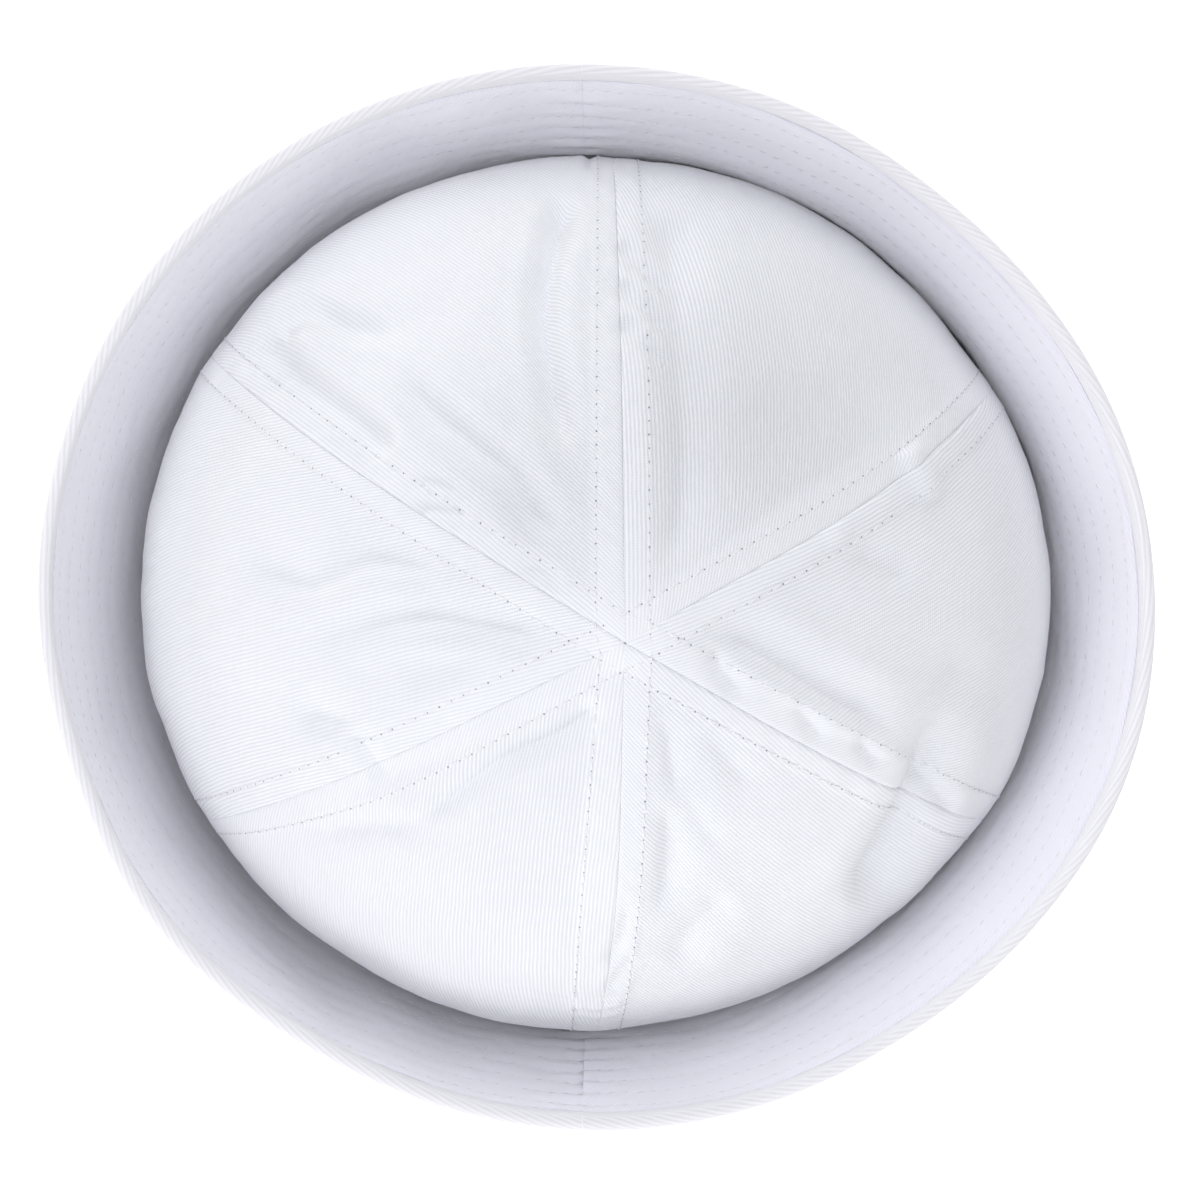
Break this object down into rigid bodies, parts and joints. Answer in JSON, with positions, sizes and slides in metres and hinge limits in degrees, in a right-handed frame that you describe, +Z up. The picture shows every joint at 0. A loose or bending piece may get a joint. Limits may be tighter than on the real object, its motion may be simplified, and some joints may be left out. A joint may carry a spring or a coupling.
{
  "type": "sailor hat",
  "caption": "White cotton twill sailor hat: a domed crown of sewn gores in a tall brim turned up all round, standing on the brim's bottom fold.",
  "frame": {"origin": "on the surface that the hat stands on, under the middle of its bounding box", "axes": "+Z up through the crown; +X along the hat's wider direction, seen from above to the right; the brim's two seams lie at +Y and -Y"},
  "size_m": [0.2299, 0.2194, 0.1039],
  "materials": {
    "crown_twill": "bleached white cotton twill, matt, fine diagonal wales",
    "facing_twill": "bleached white cotton twill, matt, quilted by rows of stitching",
    "outer_twill": "bleached white cotton twill, matt, diagonal wales, rows of stitching",
    "white_thread": "white cotton sewing thread"
  },
  "bodies": {
    "root": {"crown_panel_1": "crown_twill", "crown_panel_2": "crown_twill", "crown_panel_3": "crown_twill", "crown_panel_4": "crown_twill", "crown_panel_5": "crown_twill", "crown_panel_6": "crown_twill", "brim_facing_left": "facing_twill", "brim_facing_right": "facing_twill", "brim_outer_left": "outer_twill", "brim_outer_right": "outer_twill"}
  },
  "joints": []
}
